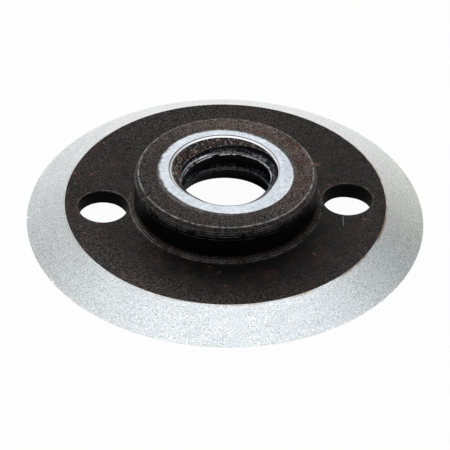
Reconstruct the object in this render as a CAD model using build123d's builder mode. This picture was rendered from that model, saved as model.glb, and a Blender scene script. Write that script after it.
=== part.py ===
from build123d import *
import os

# Circular knife: one turned and hardened steel part, a disc with a raised hub.
# Frame: millimetres, Z is the knife's axis, the flat back lies on Z = 0 and
# the hub points up. The two spanner holes lie on the X axis.

# Blade
outer_diameter = 65.0
blade_thickness = 3.8
bevel_width = 6.3          # radial width of the ground bevel
edge_thickness = 0.05      # what is left standing at the cutting edge

# Hub
overall_height = 10.2
hub_diameter = 29.8
hub_chamfer = 0.7          # breaks the hub's upper outer edge
hub_fillet = 0.7           # runs from the hub's wall into the blade
land_diameter = 22.0       # bright ground seat on top of the hub
land_drop = 0.1            # the top falls by this much from the seat outwards

# Threaded bore, drawn at the crests of the thread as for tapping
bore_diameter = 14.7
mouth_diameter = 17.5      # upper countersink, where the thread runs out
back_mouth_chamfer = 1.1   # lower countersink

# Hollow back: only a narrow ring at the rim touches the counter blade
back_ring_width = 2.0
dish_depth = 2.4           # depth of the hollow at the bore

# Holes for the pins of a face spanner
pin_hole_count = 2
pin_hole_diameter = 8.0
pin_circle_diameter = 40.1
pin_hole_edge_break = 0.25
pin_hole_break_angle = 90   # full angle of the broken edge

# Radii and heights that follow from the sizes above
edge_radius = outer_diameter / 2
bevel_inner_radius = edge_radius - bevel_width
back_ring_inner_radius = edge_radius - back_ring_width
hub_radius = hub_diameter / 2
land_radius = land_diameter / 2
bore_radius = bore_diameter / 2
mouth_chamfer = (mouth_diameter - bore_diameter) / 2
pin_hole_radius = pin_hole_diameter / 2

# Corners of the turned section that are rounded or broken, as (radius, height)
hub_top_corner = (hub_radius, overall_height - land_drop)
hub_root_corner = (hub_radius, blade_thickness)
mouth_corner = (bore_radius, overall_height)
back_mouth_corner = (bore_radius, dish_depth)

with BuildPart() as circular_knife:
    # Turned section, from the bore out to the cutting edge
    with BuildSketch(Plane.XZ) as section:
        with BuildLine():
            Polyline(
                back_mouth_corner,
                (back_ring_inner_radius, 0),
                (edge_radius, 0),
                (edge_radius, edge_thickness),
                (bevel_inner_radius, blade_thickness),
                hub_root_corner,
                hub_top_corner,
                (land_radius, overall_height),
                mouth_corner,
                close=True,
            )
        make_face()
        fillet(section.vertices().sort_by_distance(hub_root_corner)[0], radius=hub_fillet)
        chamfer(section.vertices().sort_by_distance(hub_top_corner)[0], length=hub_chamfer)
        chamfer(section.vertices().sort_by_distance(mouth_corner)[0], length=mouth_chamfer)
        chamfer(section.vertices().sort_by_distance(back_mouth_corner)[0], length=back_mouth_chamfer)
    revolve(axis=Axis.Z)

    # Spanner holes through the blade beside the hub, edges broken on the upper side
    with Locations(Plane.XY.offset(blade_thickness)):
        with PolarLocations(pin_circle_diameter / 2, pin_hole_count):
            CounterSinkHole(
                radius=pin_hole_radius,
                counter_sink_radius=pin_hole_radius + pin_hole_edge_break,
                counter_sink_angle=pin_hole_break_angle,
            )

circular_knife.part.label = "circular_knife"

os.makedirs("parts", exist_ok=True)
export_step(circular_knife.part, "parts/circular_knife.step")
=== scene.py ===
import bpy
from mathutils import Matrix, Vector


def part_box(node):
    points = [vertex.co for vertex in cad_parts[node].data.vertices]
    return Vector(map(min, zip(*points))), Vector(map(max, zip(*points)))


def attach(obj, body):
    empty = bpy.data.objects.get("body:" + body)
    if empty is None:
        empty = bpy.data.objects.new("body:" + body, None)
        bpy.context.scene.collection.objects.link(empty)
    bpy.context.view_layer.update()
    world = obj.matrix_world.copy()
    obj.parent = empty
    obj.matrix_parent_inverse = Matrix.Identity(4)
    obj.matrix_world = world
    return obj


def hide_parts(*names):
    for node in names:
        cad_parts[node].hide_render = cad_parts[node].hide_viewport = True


bl_info = {
    "name": "Circular Knife",
    "version": (1, 0, 0),
    "blender": (4, 5, 0),
    "location": "View3D > Sidebar > Knife",
    "description": "Machines a circular knife with a threaded hub, finishes it and sets it in a studio",
    "category": "Add Mesh",
}

import math

import bmesh
import bpy
from bpy.props import FloatProperty, FloatVectorProperty, IntProperty, PointerProperty
from bpy.types import Operator, Panel, PropertyGroup
from mathutils import Matrix, Vector

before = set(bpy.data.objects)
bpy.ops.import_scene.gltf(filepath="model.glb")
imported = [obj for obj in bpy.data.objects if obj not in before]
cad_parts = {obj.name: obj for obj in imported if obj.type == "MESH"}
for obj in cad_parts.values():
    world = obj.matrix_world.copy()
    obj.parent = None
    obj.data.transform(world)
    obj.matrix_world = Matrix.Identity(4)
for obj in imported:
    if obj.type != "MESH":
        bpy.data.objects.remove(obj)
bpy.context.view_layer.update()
knife_low, knife_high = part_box("circular_knife")

MM = 0.001
FULL_TURN = 2 * math.pi
NEAR = 0.002 * MM         # places nearer than this are the same place
SLIVER = 0.001 * MM       # corners nearer than this are joined after a cut
SMOOTH = math.radians(25)      # edges flatter than this are shaded smooth

# Cutters
OUTSIDE = 1 * MM          # how far a cutter reaches past the surface that it cuts
CONE_SEGMENTS = 192
MOUTH_REACH = 2.6 * MM    # how deep below the seat the countersinks of the mouth reach
LIP_REACH = 0.6 * MM      # how deep the flatter cones reach that leave the lip
BACK_MOUTH_SLOPE = math.radians(45)
BACK_MOUTH_REACH = 3 * MM
BACK_MOUTH_DROP = 0.1 * MM     # the back countersink starts this much below the hollow's deepest place
TAP_CORE = 0.8 * MM       # how far inside the bore the tap's outline starts, where it cuts nothing
ROOT_CORNER = [(0.14 * MM, 0.09 * MM), (0.06 * MM, 0.14 * MM)]    # steps (out, up) round a root's corner
NICK_SECTION = [(0.22 * MM, -OUTSIDE), (0.30 * MM, OUTSIDE)]
NICK_SEGMENTS = 12

# Marks of use, as (x, y) in millimetres
SEAT_DENTS = ((9.71, 2.56), (10.28, -1.94))
PALE_SPOTS = ((-19.05, 16.87), (-21.46, 8.73), (-23.41, -6.65), (-12.1, -3.6), (-10.9, -5.0))
SCRATCH = ((18.95, -4.4), (18.85, -6.8))
EDGE_NICKS = ((-32.35, 2.38), (-28.95, -14.54))

# Turned lines on the hub's wall, painted bright as highlights: millimetres below the seat, and strength
WALL_LINES = ((1.2, 0.40), (1.7, 0.24), (2.3, 0.12))

# What the steel mirrors: a pale wall, and shaded ones, each with its direction (right, away from the
# camera, up), the cosine from it at which its tone sets in, its strength and its tone
WHITE = (1, 1, 1)
PALE_WALL = (1.12, 1.16, 1.20)
SHADED_WALLS = (((0.8, 0.53, 0.37), 0.69, 1.0, (0.19, 0.215, 0.205)),
                ((0.50, 0.84, 0.18), 0.955, 1.0, (0.85, 0.82, 0.74)),
                ((-0.9, 0.4, 0.3), 0.60, 0.70, (0.25, 0.26, 0.22)),
                ((-0.655, 0.49, 0.57), 0.955, 0.2, (0.25, 0.25, 0.25)))

# Ground, in metres
GROUND_SIZE = 4
GROUND_DROP = 0.02 * MM        # so that it doesn't share a plane with the back ring

# Lamps: name, place and size in metres, and watts
SOFTBOXES = (("softbox_above", (0, 0.05, 0.6), (0.4, 0.4), 0.45),
             ("softbox_behind", (-0.1, 0.45, 0.6), (0.3, 0.2), 1.9),
             ("softbox_low", (-0.2, 0.72, 0.36), (0.5, 0.2), 2.4))


# Properties

def length(name, millimetres, description):
    return FloatProperty(name=name, description=description, default=millimetres * MM,
                         unit="LENGTH", precision=5)


def angle(name, degrees, description):
    return FloatProperty(name=name, description=description, default=math.radians(degrees),
                         unit="ROTATION")


def colour(name, rgb, description):
    return FloatVectorProperty(name=name, description=description, default=rgb, size=3,
                               subtype="COLOR", min=0, max=1)


def share(name, default, description):
    return FloatProperty(name=name, description=description, default=default, min=0, max=1,
                         subtype="FACTOR")


class KnifeSizes(PropertyGroup):
    """Sizes of the turned and ground blank."""
    outer_diameter: FloatProperty(name="Outer Diameter", description="Across the cutting edge",
                                  default=knife_high.x - knife_low.x, unit="LENGTH", precision=5)
    height: FloatProperty(name="Height", description="From the back ring to the seat on the hub",
                          default=knife_high.z - knife_low.z, unit="LENGTH", precision=5)
    plate: length("Plate", 3.8, "Height of the plate above the back ring")
    bevel_width: length("Bevel Width", 6.22, "Radial width of the ground bevel")
    edge: length("Edge", 0.05, "Thickness left at the cutting edge")
    hub_diameter: length("Hub Diameter", 29.8, "Across the wall of the hub")
    hub_chamfer: length("Hub Chamfer", 0.7, "Height of the broken upper edge of the hub")
    chamfer_width: length("Chamfer Width", 0.56, "Radial width of the broken upper edge of the hub")
    hub_fillet: length("Hub Fillet", 0.7, "Radius at the foot of the hub")
    seat_diameter: length("Seat Diameter", 22.7, "Across the highest flat of the hub")
    seat_grinding: length("Seat Grinding", 10.95, "Mean radius that the grinding of the seat reaches")
    seat_stretch: length("Seat Stretch", 0.32, "How far the ground seat departs from a circle")
    stretch_way: angle("Stretch Way", -49.3, "Where the ground seat is stretched")
    seat_shift: length("Seat Shift", 0.154, "How far the ground seat lies off centre")
    shift_way: angle("Shift Way", 64, "Where the ground seat is shifted to")
    seat_drop: length("Seat Drop", 0.1, "Fall of the hub's top outside the seat")
    ring_width: length("Back Ring", 2.0, "Width of the flat ring at the rim of the back")
    hollow: length("Hollow", 2.4, "Depth of the hollow back at the bore")
    corner: length("Corner Radius", 0.1, "Small radius that turning leaves on the hub's corners")
    segments: IntProperty(name="Segments", description="Steps round the knife", default=288, min=48)


class ThreadSizes(PropertyGroup):
    """Sizes of the bore, its left-hand thread and its mouths."""
    crest_diameter: length("Crest Diameter", 14.7, "Across the crests of the thread")
    pitch: length("Pitch", 3.13, "Rise of the thread in one turn")
    crest_width: length("Crest Width", 0.6, "Mean width of the flat crest")
    crest_height: length("Crest Height", 8.25, "Height of the first crest at the far side of the bore")
    flank: angle("Flank", 18, "Slope of a flank from the radial direction")
    groove_diameter: length("Groove Diameter", 16.1, "Across the roots of the thread")
    groove_x: length("Groove X", 0.55, "How far the tap stood off centre along X")
    groove_y: length("Groove Y", 0.27, "How far the tap stood off centre along Y")
    turns: IntProperty(name="Turns", description="Turns of the tap", default=6, min=2)
    steps: IntProperty(name="Steps", description="Steps in one turn of the thread", default=144, min=24)
    mouth_diameter: length("Mouth Diameter", 17.64, "Across the upper countersink")
    mouth_x: length("Mouth X", -0.22, "Offset of the upper countersink along X")
    mouth_y: length("Mouth Y", 0.80, "Offset of the upper countersink along Y")
    mouth_slope: angle("Mouth Slope", 40, "Slope of the upper countersink")
    front_diameter: length("Front Mouth Diameter", 16.0, "Across a second cut that opens the mouth in front")
    front_x: length("Front Mouth X", 0.24, "Offset of the second cut along X")
    front_y: length("Front Mouth Y", -0.75, "Offset of the second cut along Y")
    lip_width: length("Lip Width", 0.16, "Radial width of the polished lip round the mouth")
    lip_slope: angle("Lip Slope", 25, "Slope of the polished lip below the seat")
    back_mouth: length("Back Mouth", 1.1, "Width of the lower countersink")


class PinHoleSizes(PropertyGroup):
    """Sizes of the two holes for a face spanner."""
    diameter: length("Diameter", 8.0, "Across the hole")
    circle: length("Pitch Circle", 40.1, "Across the centres of the two holes")
    edge_break: length("Edge Break", 0.25, "Rounded upper edge of the hole")
    back_height_right: length("Right Back Height", 0.93, "Lower end of the right hole's straight wall")
    back_height_left: length("Left Back Height", 1.44, "Lower end of the left hole's straight wall")
    back_slope: angle("Back Slope", 30, "Slope of the back countersinks")
    segments: IntProperty(name="Segments", description="Steps round a hole", default=96, min=24)


class FinishColours(PropertyGroup):
    """Colours of the steel and of its scale, and of painted shade, light and highlights."""
    ground: colour("Ground Steel", (0.81, 0.825, 0.825), "The ground bevel")
    seat: colour("Seat", (0.69, 0.715, 0.745), "The bright seat on the hub")
    polished: colour("Polished Lip", (0.95, 0.95, 0.96), "The lip round the mouth of the bore")
    black: colour("Black Scale", (0.0015, 0.0015, 0.0025), "The darkest grains of the hardening scale")
    scale: colour("Scale", (0.012, 0.011, 0.0105), "The middle tone of the scale")
    grey: colour("Grey Scale", (0.062, 0.054, 0.050), "The lightest grains of the scale")
    brown: colour("Brown Scale", (0.085, 0.046, 0.032), "Reddish patches in the scale")
    # painted shade: the near black on the hub's wall, in the spanner holes and deep in the bore
    painted_shade_black: colour("Wall Scale", (0.0012, 0.0012, 0.0012), "The blackest scale, on the hub's wall")
    # the steel of worn edges, and the colour of painted highlights on edges and crests
    wear_and_highlight: colour("Worn Edge", (0.80, 0.81, 0.84), "Steel that shows through on worn edges")
    oil: colour("Oiled Thread", (0.004, 0.005, 0.010), "Oiled walls of the thread")
    # painted light: the colour of the lit upper flanks of the thread
    painted_flank_light: colour("Burnished Flank", (0.44, 0.46, 0.56), "Flanks of the thread where the spindle rubs")
    tarnish: colour("Tarnish", (0.42, 0.30, 0.20), "Warm line where the bevel's grinding stops at the scale")


class StudioSetting(PropertyGroup):
    """The camera, the lamps and the white ground."""
    camera_distance: length("Camera Distance", 1225.96, "From the centre of the back ring")
    camera_height: angle("Camera Height", 38.6744, "Angle of the view above the ground")
    camera_turn: angle("Camera Turn", -4.5, "Angle of the view round the knife")
    camera_roll: angle("Camera Roll", 1.0941, "Tilt of the picture")
    camera_aim: angle("Camera Aim", 0.0307, "How far the view is aimed below the centre")
    lens: FloatProperty(name="Lens", description="Focal length in millimetres", default=598.2)
    ambient: share("Ambient", 0.09, "Light from all round on matt surfaces")
    white: share("White", 1.0, "Brightness of the ground and the backdrop as the camera sees them")


# Modelling by hand

def start_alone():
    """Leaves edit mode with nothing selected, so that the next operator acts only on its own piece."""
    if bpy.context.object and bpy.context.object.mode != "OBJECT":
        bpy.ops.object.mode_set(mode="OBJECT")
    bpy.ops.object.select_all(action="DESELECT")


def only(piece):
    """Selects just this piece."""
    start_alone()
    piece.select_set(True)
    bpy.context.view_layer.objects.active = piece


def edit_all(piece):
    """Opens a piece in edit mode with all of it selected."""
    only(piece)
    bpy.ops.object.mode_set(mode="EDIT")
    bpy.ops.mesh.select_all(action="SELECT")


def face_outwards():
    """In edit mode, turns every face outwards, and closes edit mode."""
    bpy.ops.mesh.select_all(action="SELECT")
    bpy.ops.mesh.normals_make_consistent(inside=False)
    bpy.ops.object.mode_set(mode="OBJECT")


def pick(kind, test):
    """In edit mode, selects just the edges or faces that pass the test, and counts them."""
    bpy.ops.mesh.select_mode(type={"edges": "EDGE", "faces": "FACE"}[kind])
    bpy.ops.mesh.select_all(action="DESELECT")
    mesh = bmesh.from_edit_mesh(bpy.context.object.data)
    found = 0
    for item in getattr(mesh, kind):
        if test(item):
            item.select_set(True)
            found += 1
    mesh.select_flush_mode()
    bmesh.update_edit_mesh(bpy.context.object.data)
    return found


def radius_of(point):
    """How far a point lies from the knife's axis."""
    return math.hypot(point.x, point.y)


def on_ring(edge, radius, height):
    """Whether an edge runs round the axis at this radius and height."""
    return all(abs(radius_of(v.co) - radius) < NEAR and abs(v.co.z - height) < NEAR for v in edge.verts)


def turn(name, section, segments):
    """Turns a closed solid from (radius, height) points, from its lower cap to its upper one."""
    start_alone()
    radius, height = section[0]
    bpy.ops.mesh.primitive_circle_add(vertices=segments, radius=radius, fill_type="NGON",
                                      location=(0, 0, height))
    piece = bpy.context.object
    piece.name = name
    bpy.ops.object.transform_apply(location=True)
    edit_all(piece)
    for next_radius, next_height in section[1:]:
        bpy.ops.mesh.extrude_region_move(TRANSFORM_OT_translate={"value": (0, 0, next_height - height)})
        grow = next_radius / radius
        bpy.ops.transform.resize(value=(grow, grow, 1), center_override=(0, 0, 0))
        radius, height = next_radius, next_height
    face_outwards()
    return piece


def move_aside(cutter, x, y):
    """Moves a cutter off the axis, with its place in its mesh."""
    only(cutter)
    bpy.ops.transform.translate(value=(x, y, 0))
    bpy.ops.object.transform_apply(location=True)


def cut_away(piece, cutter):
    """Cuts the cutter's shape out of the piece, joins the slivers that this leaves and removes the cutter."""
    only(piece)
    cut = piece.modifiers.new("Cut", "BOOLEAN")
    cut.operation = "DIFFERENCE"
    cut.solver = "EXACT"
    cut.object = cutter
    bpy.ops.object.modifier_apply(modifier=cut.name)
    edit_all(piece)
    bpy.ops.mesh.remove_doubles(threshold=SLIVER)
    bpy.ops.object.mode_set(mode="OBJECT")
    if not piece.data.polygons:
        raise RuntimeError(f"{cutter.name} left nothing of {piece.name}")
    bpy.data.objects.remove(cutter)


def arc(centre, radius, start, end, steps):
    """Points along a round corner of a section, with angles in degrees."""
    angles = [math.radians(start + (end - start) * i / steps) for i in range(steps + 1)]
    return [(centre[0] + radius * math.cos(a), centre[1] + radius * math.sin(a)) for a in angles]


def knife_section(sizes, thread):
    """Half of the blank's section, from the middle of the back round to the middle of the hub's top."""
    rim, hub, seat = sizes.outer_diameter / 2, sizes.hub_diameter / 2, sizes.seat_diameter / 2
    ring = rim - sizes.ring_width
    top = sizes.height
    core = thread.crest_diameter / 4          # the blank is closed where the bore will be
    slope = sizes.hollow / (ring - thread.crest_diameter / 2)
    shoulder = top - sizes.seat_drop * (hub - sizes.chamfer_width - seat) / (hub - seat)
    foot = (hub + sizes.hub_fillet, sizes.plate + sizes.hub_fillet)
    return [(core, slope * (ring - core)), (ring, 0), (rim, 0), (rim, sizes.edge),
            (rim - sizes.bevel_width, sizes.plate), *arc(foot, sizes.hub_fillet, 270, 180, steps=8),
            (hub, top - sizes.seat_drop - sizes.hub_chamfer), (hub - sizes.chamfer_width, shoulder),
            (seat, top), (core, top)]


def knife_blank(sizes, thread):
    """Turns the blank and rounds the two corners of the hub's chamfer."""
    section = knife_section(sizes, thread)
    chamfer = section[-4:-2]
    blank = turn("knife", section, sizes.segments)
    bpy.ops.object.mode_set(mode="EDIT")
    for radius, height in chamfer:
        if not pick("edges", lambda edge: on_ring(edge, radius, height)):
            raise RuntimeError("the hub has no corner to round")
        bpy.ops.mesh.bevel(offset=sizes.corner, segments=3, profile=0.5, affect="EDGES")
    bpy.ops.object.mode_set(mode="OBJECT")
    return blank


def tap_outline(thread):
    """Radius where the tap's outline starts, and its steps (out, up) over one pitch, from gap to gap."""
    inner = thread.crest_diameter / 2 - TAP_CORE
    slope = math.tan(thread.flank)
    reach = thread.groove_diameter / 2 - inner - sum(out for out, up in ROOT_CORNER)
    ascent = [(reach, reach * slope), *ROOT_CORNER]
    descent = [(-out, up) for out, up in reversed(ascent)]
    gap = thread.crest_width - 2 * (thread.crest_diameter / 2 - inner) * slope
    root = thread.pitch - gap - 2 * sum(up for out, up in ascent)
    return inner, [(0, gap), *ascent, (0, root), *descent]


def draw_outline(name, start, steps):
    """Draws a line in the XZ plane from a start (out, up), step by step, and stays in edit mode."""
    start_alone()
    bpy.ops.mesh.primitive_plane_add(size=MM)
    line = bpy.context.object
    line.name = name
    bpy.ops.object.mode_set(mode="EDIT")
    bpy.ops.mesh.select_mode(type="VERT")
    bpy.ops.mesh.select_all(action="SELECT")
    bpy.ops.mesh.merge(type="CENTER")
    bpy.ops.transform.translate(value=(start[0], 0, start[1]))
    for out, up in steps:
        bpy.ops.mesh.extrude_vertices_move(TRANSFORM_OT_translate={"value": (out, 0, up)})
    return line


def left_hand_tap(thread, top):
    """A tap for the bore: one pitch of the thread's outline, screwed down to the left."""
    inner, steps = tap_outline(thread)
    gap = steps[0][1]
    tap = draw_outline("tap", (inner, thread.crest_height - gap / 2), steps)
    # the tap starts some turns higher, to reach past both ends of the bore
    bpy.ops.mesh.select_all(action="SELECT")
    bpy.ops.transform.translate(value=(0, 0, thread.pitch * (thread.turns // 2 - 1)))
    bpy.ops.object.mode_set(mode="OBJECT")
    screw = tap.modifiers.new("Screw", "SCREW")
    screw.axis = "Z"
    screw.angle = FULL_TURN
    screw.screw_offset = -thread.pitch
    screw.iterations = thread.turns
    screw.steps = screw.render_steps = thread.steps
    bpy.ops.object.modifier_apply(modifier=screw.name)
    edit_all(tap)
    bpy.ops.mesh.remove_doubles(threshold=SLIVER / 2)
    for height, side in ((top + OUTSIDE, 1), (-OUTSIDE, -1)):
        bpy.ops.mesh.select_all(action="SELECT")
        bpy.ops.mesh.bisect(plane_co=(0, 0, height), plane_no=(0, 0, side), use_fill=True,
                            clear_outer=True, threshold=SLIVER / 10)
    bpy.ops.mesh.select_all(action="SELECT")
    # the crest's height is given at the far side, a quarter turn on from where the outline was drawn
    bpy.ops.transform.rotate(value=-math.pi / 2, orient_axis="Z", center_override=(0, 0, 0))
    bpy.ops.transform.translate(value=(thread.groove_x, thread.groove_y, 0))
    face_outwards()
    return tap


def cone_cutter(name, centre, radius, height, slope, reach, upwards=True):
    """A countersink that meets the surface at this radius and height and narrows into the metal."""
    side = 1 if upwards else -1
    grow = OUTSIDE / math.tan(slope)
    shrink = reach / math.tan(slope)
    section = [(radius - shrink, height - side * reach), (radius + grow, height + side * OUTSIDE)]
    cutter = turn(name, section if upwards else section[::-1], CONE_SEGMENTS)
    move_aside(cutter, *centre)
    return cutter


def mouths(thread):
    """Centre and radius of the two cuts that make the countersunk mouth of the bore."""
    return (((thread.mouth_x, thread.mouth_y), thread.mouth_diameter / 2),
            ((thread.front_x, thread.front_y), thread.front_diameter / 2))


def machine_bore(blank, sizes, thread):
    """Drills and taps the bore and countersinks both of its mouths."""
    top = sizes.height
    crest = thread.crest_diameter / 2
    cut_away(blank, turn("drill", [(crest, -OUTSIDE), (crest, top + OUTSIDE)], sizes.segments))
    cut_away(blank, left_hand_tap(thread, top))
    for centre, radius in mouths(thread):
        cut_away(blank, cone_cutter("countersink", centre, radius, top, thread.mouth_slope, MOUTH_REACH))
        lip = radius + thread.lip_width
        cut_away(blank, cone_cutter("lip", centre, lip, top, thread.lip_slope, LIP_REACH))
    cut_away(blank, cone_cutter("back_countersink", (0, 0), crest + thread.back_mouth,
                                sizes.hollow - BACK_MOUTH_DROP, BACK_MOUTH_SLOPE, BACK_MOUTH_REACH,
                                upwards=False))


def machine_pin_holes(blank, sizes, holes):
    """Cuts the two spanner holes, rounds their upper edges and countersinks them from the back."""
    radius, broken = holes.diameter / 2, holes.edge_break
    upper_edge = arc((radius + broken, sizes.plate - broken), broken, 180, 90, steps=4)
    for side, back in ((1, holes.back_height_right), (-1, holes.back_height_left)):
        back_radius = radius + (back + OUTSIDE) / math.tan(holes.back_slope)
        section = [(back_radius, -OUTSIDE), (radius, back), *upper_edge,
                   (radius + broken, sizes.plate + OUTSIDE)]
        cutter = turn("pin_hole_cutter", section, holes.segments)
        move_aside(cutter, side * holes.circle / 2, 0)
        cut_away(blank, cutter)


def nick_edge(knife):
    """Chips two small nicks out of the cutting edge."""
    for x, y in EDGE_NICKS:
        cutter = turn("nick", NICK_SECTION, NICK_SEGMENTS)
        move_aside(cutter, x * MM, y * MM)
        cut_away(knife, cutter)


# Finishes

class Wire:
    """A socket that can be used in sums: an expression on wires adds its Math nodes."""

    def __init__(self, nodes, socket):
        self.nodes = nodes
        self.socket = socket

    def maths(self, operation, *others, clamp=False):
        """Adds a Math node with this socket first and the others after it."""
        node = self.nodes.node("ShaderNodeMath", {"operation": operation, "use_clamp": clamp},
                               dict(enumerate((self, *others))))
        return self.nodes.wire(node)

    def __add__(self, other):
        return self.maths("ADD", other)

    def __sub__(self, other):
        return self.maths("SUBTRACT", other)

    def __mul__(self, other):
        return self.maths("MULTIPLY", other)

    def __truediv__(self, other):
        return self.maths("DIVIDE", other)

    def __pow__(self, other):
        return self.maths("POWER", other)

    def __rsub__(self, other):
        return self.nodes.number(other).maths("SUBTRACT", self)

    def __rtruediv__(self, other):
        return self.nodes.number(other).maths("DIVIDE", self)

    __radd__ = __add__
    __rmul__ = __mul__

    def absolute(self):
        return self.maths("ABSOLUTE")

    def at_least(self, least):
        return self.maths("MAXIMUM", least)

    def at_most(self, most):
        return self.maths("MINIMUM", most)

    def clamped(self):
        """Kept between 0 and 1."""
        return self.maths("ADD", 0.0, clamp=True)

    def rises(self, low, high):
        """0 below low, 1 above high, and a smooth step between."""
        node = self.nodes.node("ShaderNodeMapRange", {"interpolation_type": "SMOOTHSTEP"},
                               {"Value": self, "From Min": low, "From Max": high})
        return self.nodes.wire(node, "Result")

    def falls(self, low, high):
        """1 below low, 0 above high, and a smooth step between."""
        return 1 - self.rises(low, high)


def set_stops(ramp, stops):
    """Gives a colour ramp these stops, as (position, colour)."""
    while len(ramp.elements) > 1:
        ramp.elements.remove(ramp.elements[-1])
    for i, (position, tone) in enumerate(stops):
        stop = ramp.elements[0] if i == 0 else ramp.elements.new(position)
        stop.position = position
        stop.color = (*tone, 1)


class Nodes:
    """A node tree under construction."""

    def __init__(self, tree):
        self.tree = tree
        tree.nodes.clear()

    def node(self, kind, settings=None, inputs=None):
        """Adds a node: its settings first, then the values or wires of its sockets."""
        node = self.tree.nodes.new(kind)
        for key, value in (settings or {}).items():
            if key == "stops":
                set_stops(node.color_ramp, value)
            else:
                setattr(node, key, value)
        for key, value in (inputs or {}).items():
            socket = node.inputs[key]
            if isinstance(value, Wire):
                value = value.socket
            if isinstance(value, bpy.types.NodeSocket):
                self.tree.links.new(value, socket)
            elif socket.type == "RGBA":
                socket.default_value = (*value, 1)
            else:
                socket.default_value = value
        return node

    def wire(self, node, output=0):
        return Wire(self, node.outputs[output])

    def number(self, value):
        node = self.node("ShaderNodeValue")
        node.outputs[0].default_value = value
        return self.wire(node)

    def mix(self, share, first, second):
        """A colour part of the way from the first to the second."""
        node = self.node("ShaderNodeMix", {"data_type": "RGBA"}, {0: share, 6: first, 7: second})
        return node.outputs[2]

    def blend(self, share, first, second):
        """A shader part of the way from the first to the second."""
        node = self.node("ShaderNodeMixShader", {}, {0: share, 1: first, 2: second})
        return node.outputs[0]

    def rays(self, *kinds):
        """1 for rays of these kinds, such as Camera, and 0 for the others."""
        path = self.node("ShaderNodeLightPath")
        return sum(self.wire(path, f"Is {kind} Ray") for kind in kinds).clamped()


class Finish(Nodes):
    """A material of the knife under construction, with the axes and the radius in millimetres."""

    def __init__(self, name):
        self.material = bpy.data.materials.new(name)
        self.material.use_nodes = True
        super().__init__(self.material.node_tree)
        self.place = self.node("ShaderNodeTexCoord").outputs["Object"]
        parts = self.node("ShaderNodeSeparateXYZ", {}, {0: self.place})
        self.x, self.y, self.z = (self.wire(parts, i) * (1 / MM) for i in range(3))
        self.r = (self.x * self.x + self.y * self.y).maths("SQRT")

    def vector(self, x, y, z):
        return self.node("ShaderNodeCombineXYZ", {}, {0: x, 1: y, 2: z}).outputs[0]

    def noise(self, scale, detail, rough, at=None):
        """Noise with this many grains to the metre, or to the unit of the place that it reads."""
        node = self.node("ShaderNodeTexNoise", {}, {"Vector": at or self.place, "Scale": scale,
                                                    "Detail": detail, "Roughness": rough})
        return self.wire(node)

    def turned_noise(self, around, inwards, rough=0.5):
        """Noise drawn out along circles round the axis, as a wheel or a cutter leaves it."""
        across, along = self.x / self.r, self.y / self.r
        return self.noise(1.0, 2, rough, self.vector(across * around, along * around, self.r * inwards))

    def relief(self, height, depth, strength):
        """Relief of this depth in metres."""
        inputs = {"Height": height, "Distance": depth, "Strength": strength}
        return self.node("ShaderNodeBump", {}, inputs).outputs["Normal"]

    def surface(self, **sockets):
        """Ends the material in one shader with these sockets, and returns it."""
        inputs = {key.replace("_", " "): value for key, value in sockets.items()}
        shader = self.node("ShaderNodeBsdfPrincipled", {}, inputs)
        self.node("ShaderNodeOutputMaterial", {}, {"Surface": shader.outputs[0]})
        return self.material


def toned(colour, gain=1.0):
    """A colour made darker or lighter."""
    return tuple(min(1, c * gain) for c in colour)


def distance(x, y, place):
    """How far a point of the surface lies from a place, seen along the axis."""
    dx, dy = x - place[0], y - place[1]
    return (dx * dx + dy * dy).maths("SQRT")


def spots(x, y, places, radius):
    """Round spots at these places."""
    return sum(distance(x, y, place).falls(radius * 0.5, radius) for place in places)


def grains(scale, colours, fine_size, coarse_size, lift=0.0, painted_light=1.0):
    """Colour of the scale, a middle tone with pits and flecks made lighter or darker by painted light, and
    its grain; grain sizes in millimetres.
    """
    fine = scale.noise(1 / (fine_size * MM), 1, 0.6)
    coarse = scale.noise(1 / (coarse_size * MM), 2, 0.6)
    grain = ((fine - 0.5) * 7.5 + (coarse - 0.5) * 2.0 + (0.60 + lift)).clamped()
    stops = ((0.0, toned(colours.black)), (0.40, toned(colours.scale)),
             (0.75, toned(colours.grey, 0.8)), (1.0, toned(colours.grey, 1.15)))
    ramp = scale.node("ShaderNodeValToRGB", {"stops": stops}, {0: grain})
    flecks = scale.noise(4600, 0, 0.5).rises(0.58, 0.68) * 0.42
    tone = scale.mix(flecks, ramp.outputs["Color"], toned(colours.grey, 4.2))
    lit = scale.node("ShaderNodeVectorMath", {"operation": "SCALE"}, {0: tone, "Scale": painted_light})
    return lit.outputs["Vector"], grain


def wear_and_highlight_line(scale, radius, height, width, strength):
    """A thin bright line round the knife at this radius and height, broken up along its length, painted as
    worn steel and highlight.
    """
    dr, dz = scale.r - radius, scale.z - height
    near = (dr * dr + dz * dz).maths("SQRT").falls(width * 0.4, width)
    return near * scale.noise(700, 3, 0.7).rises(0.35, 0.6) * strength


def ground_steel(colours, sizes):
    """Bevel and back ring: fine marks of the grinding wheel, and a warm line where they stop."""
    steel = Finish("ground_steel")
    fine = steel.turned_noise(110, 8.5, rough=0.7)
    broad = steel.turned_noise(6, 1.1)
    light = ((fine - 0.5) * 4.2 + (broad - 0.5) * 0.4 + 0.56).clamped()
    tone = steel.mix(light, toned(colours.ground, 0.62), toned(colours.ground, 1.2))
    inner = (sizes.outer_diameter / 2 - sizes.bevel_width) / MM
    border = steel.r.falls(inner + 0.08, inner + 0.42) * steel.noise(260, 2, 0.6).rises(0.38, 0.6)
    tone = steel.mix(border * (0.6 + steel.x / steel.r * 0.35), tone, toned(colours.tarnish))
    return steel.surface(Base_Color=tone, Metallic=1.0, Roughness=0.26 + fine * 0.14, Anisotropic=0.7,
                         Normal=steel.relief(fine, 0.00003, 0.5))


def grinding_reach(x, y, sizes):
    """Radius that the grinding of the seat reaches, which is uneven and a little off centre."""
    way = y.maths("ARCTAN2", x)
    stretch = ((way - sizes.stretch_way) * 2).maths("COSINE") * (sizes.seat_stretch / MM)
    shift = (way - sizes.shift_way).maths("COSINE") * (sizes.seat_shift / MM)
    return stretch + shift + sizes.seat_grinding / MM


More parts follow.
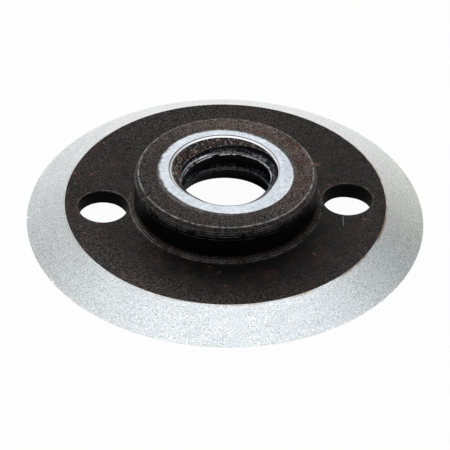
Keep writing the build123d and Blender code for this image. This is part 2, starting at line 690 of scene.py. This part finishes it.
def outside_lip(x, y, thread):
    """How far a point of the seat lies outside the polished lip of the mouth."""
    rear, front = (distance(x, y, (centre[0] / MM, centre[1] / MM)) - (radius + thread.lip_width) / MM
                   for centre, radius in mouths(thread))
    return rear.at_most(front)


def seat_steel(colours, sizes, thread):
    """The bright seat, ragged where its grinding stops, and the polished lip of the mouth in a dark line."""
    steel = Finish("seat_steel")
    x, y, r = steel.x, steel.y, steel.r
    marks = steel.turned_noise(30, 4)
    cloud = steel.noise(1500, 3, 0.65)
    broad = steel.noise(150, 2, 0.5)
    light = ((marks - 0.5) * 1.6 + (cloud - 0.5) * 2.0 + (broad - 0.5) * 1.2 + 0.53).clamped()
    tone = steel.mix(light, toned(colours.seat, 0.74), toned(colours.seat, 1.14))
    # the scale that the grinding left round the seat begins softest on the far left
    soft = ((y - x) / r * 0.22 + 0.22).at_least(0.06)
    ragged = (steel.noise(900, 3, 0.6) - 0.5) * (soft * 1.6 + 0.1)
    left = ((r - grinding_reach(x, y, sizes) + ragged) / soft + 0.5).clamped()
    speckled = steel.mix(cloud.rises(0.35, 0.65), toned(colours.scale), toned(colours.grey, 2))
    tone = steel.mix(left, tone, speckled)
    beyond = outside_lip(x, y, thread)
    tone = steel.mix(beyond.falls(-0.03, 0.01), tone, toned(colours.polished))
    behind = (0.55 + (y - x * 0.3) / r * 0.6).clamped()
    dark_line = (beyond - 0.04).absolute().falls(0.06, 0.13) * behind
    tone = steel.mix(dark_line, tone, toned(colours.grey))
    tone = steel.mix(spots(x, y, SEAT_DENTS, 0.13), tone, toned(colours.grey))
    return steel.surface(Base_Color=tone, Metallic=1 - left * 0.9, Roughness=0.34 + left * 0.15,
                         Anisotropic=0.3, Normal=steel.relief(light, 0.00001, 0.4))


def from_scratch(x, y):
    """How far a point of the plate lies from the scratch on it."""
    (x1, y1), (x2, y2) = SCRATCH
    along = ((y - y1) / (y2 - y1)).clamped()
    return distance(x - along * (x2 - x1), y - along * (y2 - y1), (x1, y1))


def wear_and_painted_highlights(scale, sizes, holes, on_plate):
    """Painted highlights on the hub's chamfer edges, which are partly worn, on its foot in front and on the
    holes' rims, brightest on their far side; and a scratch that shows the steel.
    """
    x, y = scale.x, scale.y
    along = y / scale.r
    hub, top = sizes.hub_diameter / 2 / MM, sizes.height / MM
    foot, plate = hub + sizes.hub_fillet / MM, sizes.plate / MM
    at_front = (0.30 - along * 0.85).clamped()
    # painted highlights: the hub's two chamfer edges, partly worn, and lines along its foot in front
    edge_highlights = ((hub - sizes.chamfer_width / MM, top - 0.08, 0.20, 0.56 - along * 0.18),
             (hub, top - (sizes.seat_drop + sizes.hub_chamfer) / MM, 0.15, 0.40),
             (foot + 0.10, plate, 0.15, at_front * 0.60),
             (foot - 0.30, plate + 0.12, 0.14, at_front * 0.30),
             (foot + 0.50, plate, 0.10, at_front * 0.08))
    hole = distance(x.absolute(), y, (holes.circle / 2 / MM, 0))
    rim = (hole - (holes.diameter / 2 + holes.edge_break * 1.1) / MM).absolute().falls(0.05, 0.13)
    # painted highlight on the holes' rims, brightest on their far side
    rim_highlight = rim * scale.noise(500, 3, 0.7).rises(0.35, 0.65) * (0.14 + y * 0.03).clamped()
    scratch = from_scratch(x, y).falls(0.04, 0.11) * 0.25
    return (sum(wear_and_highlight_line(scale, *ring) for ring in edge_highlights) + (rim_highlight + scratch) * on_plate).clamped()


def painted_light_on_scale(x, y, r, on_hub, side, patch):
    """How light the scale is painted by its place, as painted light and shade: lightest on the right of the
    hub's top, darker on the plate, with random patches a little lighter.
    """
    across, along = x / r, y / r
    right = across.at_least(0)
    # painted light and shade: the hub's top is lighter to the right and the rear, the plate lighter at the
    # left front and darker to the rear, the right and the sides
    hub_gain = 0.32 + side * 1.30 + right * 0.65 + along * 0.12
    left_front = across.at_most(0) * along.at_most(0) * (1 - on_hub) * 1.1
    to_sides = across.absolute() * (0.19 - on_hub * 0.03)
    return 0.80 + on_hub * hub_gain - right * 0.10 - to_sides - along * 0.14 + left_front + patch * 0.08


def hardening_scale(colours, sizes, holes):
    """Black-brown scale on the plate and the hub, browner on top of the hub and painted lighter there, with
    painted light and shade by side, painted highlights on edges and a painted shadow of the hub on the plate
    in front of it.
    """
    scale = Finish("hardening_scale")
    x, y, z, r = scale.x, scale.y, scale.z, scale.r
    top, plate = sizes.height / MM, sizes.plate / MM
    foot = (sizes.hub_diameter / 2 + sizes.hub_fillet) / MM
    on_hub = z.rises(top - 1.2, top - 0.6)
    above = z.rises(plate - 0.8, plate - 0.5)      # the marks seen from above don't come through on the back
    on_plate = above * z.falls(plate + 0.2, plate + 1.2)
    patch = scale.noise(140, 2, 0.5).rises(0.42, 0.62)
    side = ((x * 0.6 + y * 0.5) / r + 0.3).clamped()
    painted_light = painted_light_on_scale(x, y, r, on_hub, side, patch)
    tone, grain = grains(scale, colours, 0.31, 0.7, patch * 0.05, painted_light)
    tone = scale.mix(on_hub * side * grain * 0.5, tone, toned(colours.brown, 1.7))
    # painted shadow of the hub: the plate is painted blackest in front of the hub, close to its foot
    painted_hub_shadow = r.rises(foot - 0.2, foot + 0.6) * r.falls(foot + 1.9, foot + 12.9) * (1 - on_hub) * above
    tone = scale.mix(painted_hub_shadow * (0.5 - y / r * 0.5) ** 1.5 * 0.97, tone, toned(colours.black))
    blotch = scale.noise(300, 4, 0.65)
    rusty = blotch.rises(0.46, 0.68) * (0.30 + on_hub * side * 0.7) * (0.4 + grain)
    tone = scale.mix(rusty.clamped(), tone, toned(colours.brown))
    specks = scale.noise(620, 1, 0.4).rises(0.735, 0.76) * 0.5
    pale = (specks + spots(x, y, PALE_SPOTS, 0.24) * above).clamped()
    tone = scale.mix(pale, tone, toned(colours.brown, 3))
    tone = scale.mix(wear_and_painted_highlights(scale, sizes, holes, on_plate), tone, toned(colours.wear_and_highlight))
    return scale.surface(Base_Color=tone, Metallic=0.0, Roughness=0.42 + grain * 0.25,
                         Specular_IOR_Level=0.10, Normal=scale.relief(grain, 0.00006, 0.8))


def wall_scale(colours, sizes):
    """The blackest scale, as painted shade, on the wall of the hub and in the spanner holes, with turned
    lines at the top painted bright as highlights.
    """
    scale = Finish("wall_scale")
    x, y, z, r = scale.x, scale.y, scale.z, scale.r
    tone, grain = grains(scale, colours, 0.3, 0.7)
    hub, top, foot = sizes.hub_diameter / 2 / MM, sizes.height / MM, sizes.plate / MM
    at_foot = z.falls(foot + 0.3, foot + 1.0) * r.falls(hub + 0.8, hub + 1.0)
    # painted shade: the wall is painted nearly black, except at the top of the hub's wall and at its foot
    outside_painted_shade = (z.rises(top - 2.0, top - 1.0) * 0.7 + at_foot).clamped()
    tone = scale.mix(outside_painted_shade, toned(colours.painted_shade_black), tone)
    front_left = (0.6 - (x + y) / r * 0.4).clamped()
    # the turned lines are painted bright as highlights, on the front left only
    turned = sum(wear_and_highlight_line(scale, hub, top - drop, 0.13, strength) for drop, strength in WALL_LINES)
    tone = scale.mix((front_left * turned).clamped(), tone, toned(colours.wear_and_highlight))
    return scale.surface(Base_Color=tone, Metallic=0.0, Roughness=0.55, Specular_IOR_Level=0.03,
                         Normal=scale.relief(grain, 0.00006, 0.8))


def countersink_scale(colours, thread):
    """Rust-speckled scale on the countersinks of the bore, oily on the right and black in front, painted
    lighter towards the rear left, with a painted highlight on the ridge where the groove cuts it.
    """
    scale = Finish("countersink_scale")
    x, y, z, r = scale.x, scale.y, scale.z, scale.r
    left = ((y - x) / r * 0.5 + 0.5).clamped()
    # painted light: the countersinks' scale is painted lighter towards the rear left
    tone, grain = grains(scale, colours, 0.28, 0.6, 0.0, 1.0 + left * 0.22)
    rust = scale.noise(420, 3, 0.6).rises(0.40, 0.58) * (0.35 + left * 0.65)
    tone = scale.mix((rust * grain * 1.2).clamped(), tone, toned(colours.brown, 2.8))
    pits = scale.noise(3000, 1, 0.5).falls(0.46, 0.52)
    tone = scale.mix(pits * 0.95, tone, toned(colours.black))
    # the flakes read x and y the other way round, so that they don't fall on the pits
    flakes = scale.noise(2600, 1, 0.5, scale.vector(y * MM, x * MM, z * MM)).rises(0.58, 0.63)
    tone = scale.mix(flakes * 0.85, tone, toned(colours.grey, 10))
    tone = scale.mix((0 - y / r).rises(-0.1, 0.5) * 0.95, tone, toned(colours.black))
    tone = scale.mix((x / r).rises(-0.1, 0.7) * 0.35, tone, toned(colours.oil))
    groove = thread.groove_diameter / 2 / MM
    from_tap = distance(x, y, (thread.groove_x / MM, thread.groove_y / MM))
    # painted highlight along the ridge where the groove cuts the countersink
    ridge_highlight = from_tap.falls(groove, groove + 0.16) * scale.noise(800, 2, 0.6).rises(0.35, 0.6)
    tone = scale.mix(ridge_highlight * 0.25, tone, toned(colours.wear_and_highlight))
    return scale.surface(Base_Color=tone, Metallic=0.0, Roughness=0.40, Specular_IOR_Level=0.2,
                         Normal=scale.relief(grain, 0.00006, 0.8))


def place_in_groove(x, y, z, thread):
    """Height of a point above the middle of its groove, and how far the groove's two lips are from there."""
    pitch, slope = thread.pitch / MM, math.tan(thread.flank)
    # half a pitch from the crest to the groove, and a quarter for the turn from the far side to the right
    middle = (thread.crest_height + thread.pitch * 0.75) / MM
    turns = (z - middle + y.maths("ARCTAN2", x) * (pitch / FULL_TURN)) / pitch
    above = ((turns + 0.5).maths("FRACT") - 0.5) * pitch
    # on the side that the tap leaned to, it cut deeper and the groove is wider
    deeper_cut = (x * thread.groove_x + y * thread.groove_y) * (slope / thread.crest_diameter * 2)
    return above, deeper_cut + (pitch - thread.crest_width / MM) / 2


def thread_steel(colours, thread):
    """The oiled thread, painted blacker deep in the bore as painted shade, with painted light and glints on
    its upper flanks and painted highlights on the corners of its crests, partly worn.
    """
    steel = Finish("thread_steel")
    x, y, z, r = steel.x, steel.y, steel.z, steel.r
    depth = thread.crest_height / MM - z          # below the first crest
    tone, grain = grains(steel, colours, 0.25, 0.6, 0.05)
    oily = 0.45 + steel.noise(300, 2, 0.6).rises(0.4, 0.6) * 0.35
    tone = steel.mix(oily, tone, toned(colours.oil))
    # painted shade: the thread is painted blacker deeper in the bore
    deep = depth.rises(0.65, 2.75)
    tone = steel.mix(depth.rises(3.25, 3.85) * 0.5 + deep * 0.4, tone, toned(colours.painted_shade_black))
    above, lip = place_in_groove(x, y, z, thread)
    crest = thread.crest_diameter / 2 / MM
    streak = steel.noise(1.0, 3, 0.7, steel.vector(x * 0.5, y * 0.5, above * 5))
    glint_specks = steel.noise(2800, 1, 0.5).rises(0.51, 0.58)
    # painted light and glints on the upper flanks of the thread, near the mouth
    flank = (above + lip).falls(0.22, 0.42) * r.rises(crest, crest + 0.15) * streak.rises(0.42, 0.62)
    painted_flank_glints = flank * depth.falls(3.45, 4.25) * (0.08 + glint_specks * 0.80)
    tone = steel.mix(painted_flank_glints, tone, toned(colours.painted_flank_light))
    # painted highlights on the corners of the crests, partly worn, weaker on the far left and deep in the
    # bore
    far_left = (x / r).falls(-0.75, -0.35)
    upper = (above + lip + 0.07).absolute().falls(0.08, 0.16)
    upper = upper * steel.noise(1100, 2, 0.6).rises(0.30, 0.48) * (1 - far_left * 0.55)
    lower = (above - lip + 0.05).absolute().falls(0.09, 0.19) * steel.noise(650, 2, 0.6).rises(0.45, 0.52)
    at_crest = r.falls(crest + 0.10, crest + 0.25)
    wear_and_highlight = ((upper + lower + glint_specks * 0.35) * at_crest * (1 - deep * 0.80)).clamped()
    tone = steel.mix(wear_and_highlight, tone, toned(colours.wear_and_highlight))
    return steel.surface(Base_Color=tone, Metallic=wear_and_highlight, Roughness=0.38 + grain * 0.2 - wear_and_highlight * 0.2,
                         Specular_IOR_Level=0.04, Normal=steel.relief(grain, 0.00005, 0.7))


def give_finishes(knife, sizes, thread, holes, colours):
    """Lays the plate's scale all over, then the other finishes on the faces picked by place and slope."""
    rim, seat, top = sizes.outer_diameter / 2, sizes.seat_diameter / 2, sizes.height
    under_seat = top - 0.01 * MM
    roots = thread.groove_diameter / 2 + thread.groove_x
    bore, mouth = roots + 0.2 * MM, roots + 1.6 * MM       # radii that hold all of their faces

    def slopes(face, angle):
        return abs(face.normal.z - math.cos(angle)) < 0.006

    def is_wall(face):
        centre = face.calc_center_median()
        return abs(face.normal.z) < 0.3 and radius_of(centre) > seat and centre.z > sizes.edge

    def is_bore(face):
        centre = face.calc_center_median()
        return radius_of(centre) < bore and centre.z < under_seat

    def is_countersink(face):
        conical = slopes(face, thread.mouth_slope) or slopes(face, math.pi - BACK_MOUTH_SLOPE)
        return conical and radius_of(face.calc_center_median()) < mouth

    def is_seat(face):
        centre = face.calc_center_median()
        flat = face.normal.z > 0.999 and centre.z > under_seat
        lip = slopes(face, thread.lip_slope) and centre.z > top - LIP_REACH
        return radius_of(centre) < seat and (flat or lip)

    def is_ground(face):
        r = radius_of(face.calc_center_median())
        bevel = 0.5 < face.normal.z < 0.95 and r > rim - sizes.bevel_width
        return bevel or r > rim - sizes.ring_width

    knife.data.materials.append(hardening_scale(colours, sizes, holes))
    finishes = ((wall_scale(colours, sizes), is_wall), (thread_steel(colours, thread), is_bore),
                (countersink_scale(colours, thread), is_countersink),
                (seat_steel(colours, sizes, thread), is_seat), (ground_steel(colours, sizes), is_ground))
    for finish, test in finishes:
        knife.data.materials.append(finish)
    only(knife)
    bpy.ops.object.mode_set(mode="EDIT")
    for slot, (finish, test) in enumerate(finishes, start=1):
        if not pick("faces", test):
            raise RuntimeError(f"no face for {finish.name}")
        knife.active_material_index = slot
        bpy.ops.object.material_slot_assign()
    bpy.ops.object.mode_set(mode="OBJECT")


# Studio

def white_paper(setting):
    """Paper that is seen and mirrored as bright white, and still takes a little of the knife's shadow."""
    material = bpy.data.materials.new("white_ground")
    material.use_nodes = True
    paper = Nodes(material.node_tree)
    seen = paper.rays("Camera", "Glossy", "Transmission") * 0.97
    lit = paper.node("ShaderNodeBsdfDiffuse", {}, {"Color": (0.9, 0.9, 0.9)})
    glow = paper.node("ShaderNodeEmission", {}, {"Color": WHITE, "Strength": setting.white})
    both = paper.blend(seen, lit.outputs[0], glow.outputs[0])
    paper.node("ShaderNodeOutputMaterial", {}, {"Surface": both})
    return material


def lay_ground(setting):
    """Lays the white paper under the knife."""
    start_alone()
    bpy.ops.mesh.primitive_plane_add(size=GROUND_SIZE, location=(0, 0, -GROUND_DROP))
    ground = bpy.context.object
    ground.name = "ground"
    ground.data.materials.append(white_paper(setting))


def surround(scene, setting):
    """White for the camera, soft light for matt surfaces, and shaded walls for the steel to mirror."""
    scene.world = bpy.data.worlds.new("studio")
    scene.world.use_nodes = True
    room = Nodes(scene.world.node_tree)
    way = room.node("ShaderNodeTexCoord").outputs["Generated"]
    camera_turn = Matrix.Rotation(setting.camera_turn, 3, "Z")
    mirrored = PALE_WALL
    for direction, start, strength, tone in SHADED_WALLS:
        aim = camera_turn @ Vector(direction).normalized()
        near = room.node("ShaderNodeVectorMath", {"operation": "DOT_PRODUCT"}, {0: way, 1: aim})
        share = ((room.wire(near, "Value") - start) * (1 / (1 - start))).clamped() ** 1.5
        mirrored = room.mix(share * strength, mirrored, tone)
    lights = ((WHITE, setting.ambient), (mirrored, 1.0), (WHITE, setting.white))
    matt, shiny, seen = (
        room.node("ShaderNodeBackground", {}, {"Color": tone, "Strength": strength}).outputs[0]
        for tone, strength in lights)
    both = room.blend(room.rays("Glossy"), matt, shiny)
    both = room.blend(room.rays("Camera", "Transmission"), both, seen)
    room.node("ShaderNodeOutputWorld", {}, {"Surface": both})


def hang_softbox(name, place, size, watts):
    """Hangs a rectangular lamp that points at the knife."""
    start_alone()
    bpy.ops.object.light_add(type="AREA", location=place)
    light = bpy.context.object
    light.name = name
    light.data.shape = "RECTANGLE"
    light.data.size, light.data.size_y = size
    light.data.energy = watts
    light.rotation_euler = (-Vector(place)).to_track_quat("-Z", "Y").to_euler()
    light.visible_glossy = False       # the shaded walls are what the steel mirrors


def tilt(first, second, angle):
    """Turns two directions in their plane, the first towards the second."""
    return (first * math.cos(angle) + second * math.sin(angle),
            second * math.cos(angle) - first * math.sin(angle))


def place_camera(scene, setting):
    """Sets the camera: turned round the knife, then aimed a little lower, then rolled."""
    height, way = setting.camera_height, setting.camera_turn
    back = Vector((math.sin(way) * math.cos(height), -math.cos(way) * math.cos(height), math.sin(height)))
    right = Vector((math.cos(way), math.sin(way), 0))
    forward, up = tilt(-back, right.cross(-back), -setting.camera_aim)
    right, up = tilt(right, up, setting.camera_roll)
    start_alone()
    bpy.ops.object.camera_add()
    camera = bpy.context.object
    camera.name = "camera"
    camera.data.lens = setting.lens
    camera.data.sensor_width = 36
    camera.data.clip_start, camera.data.clip_end = 0.05, 20
    camera.data.dof.use_dof = False
    turned = Matrix((right, up, -forward)).transposed().to_4x4()
    camera.matrix_world = Matrix.Translation(back * setting.camera_distance) @ turned
    scene.camera = camera


# Operators

class KNIFE_OT_machine(Operator):
    """Machine the knife: turn the blank, tap and countersink the bore, cut the spanner holes"""
    bl_idname = "knife.machine"
    bl_label = "Machine Knife"
    bl_options = {"REGISTER", "UNDO"}

    def execute(self, context):
        scene = context.scene
        sizes, thread, holes = scene.knife_sizes, scene.knife_thread, scene.knife_pin_holes
        knife = knife_blank(sizes, thread)
        machine_bore(knife, sizes, thread)
        machine_pin_holes(knife, sizes, holes)
        nick_edge(knife)
        edit_all(knife)
        face_outwards()
        give_finishes(knife, sizes, thread, holes, scene.knife_colours)
        only(knife)
        bpy.ops.object.shade_smooth_by_angle(angle=SMOOTH)
        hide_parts("circular_knife")
        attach(knife, "root")
        return {"FINISHED"}


class KNIFE_OT_studio(Operator):
    """Set the white ground, the soft lamps and the camera"""
    bl_idname = "knife.studio"
    bl_label = "Set Up Studio"
    bl_options = {"REGISTER", "UNDO"}

    def execute(self, context):
        scene = context.scene
        setting = scene.knife_studio
        lay_ground(setting)
        surround(scene, setting)
        for softbox in SOFTBOXES:
            hang_softbox(*softbox)
        place_camera(scene, setting)
        scene.view_settings.view_transform = "Standard"
        return {"FINISHED"}


class KNIFE_PT_panel(Panel):
    """Sizes, finishes and studio of the circular knife"""
    bl_idname = "KNIFE_PT_panel"
    bl_label = "Circular Knife"
    bl_space_type = "VIEW_3D"
    bl_region_type = "UI"
    bl_category = "Knife"

    def draw(self, context):
        for operator in OPERATORS:
            self.layout.operator(operator.bl_idname)
        for group, name in GROUPS.items():
            box = self.layout.box()
            box.label(text=group.__doc__)
            for key in group.__annotations__:
                box.prop(getattr(context.scene, name), key)


OPERATORS = (KNIFE_OT_machine, KNIFE_OT_studio)
GROUPS = {KnifeSizes: "knife_sizes", ThreadSizes: "knife_thread", PinHoleSizes: "knife_pin_holes",
          FinishColours: "knife_colours", StudioSetting: "knife_studio"}


def register():
    for group, name in GROUPS.items():
        bpy.utils.register_class(group)
        setattr(bpy.types.Scene, name, PointerProperty(type=group))
    for operator in OPERATORS:
        bpy.utils.register_class(operator)
    bpy.utils.register_class(KNIFE_PT_panel)


def unregister():
    bpy.utils.unregister_class(KNIFE_PT_panel)
    for operator in reversed(OPERATORS):
        bpy.utils.unregister_class(operator)
    for group, name in GROUPS.items():
        delattr(bpy.types.Scene, name)
        bpy.utils.unregister_class(group)


def main():
    register()
    bpy.ops.knife.machine()
    bpy.ops.knife.studio()


if __name__ == "__main__":
    main()
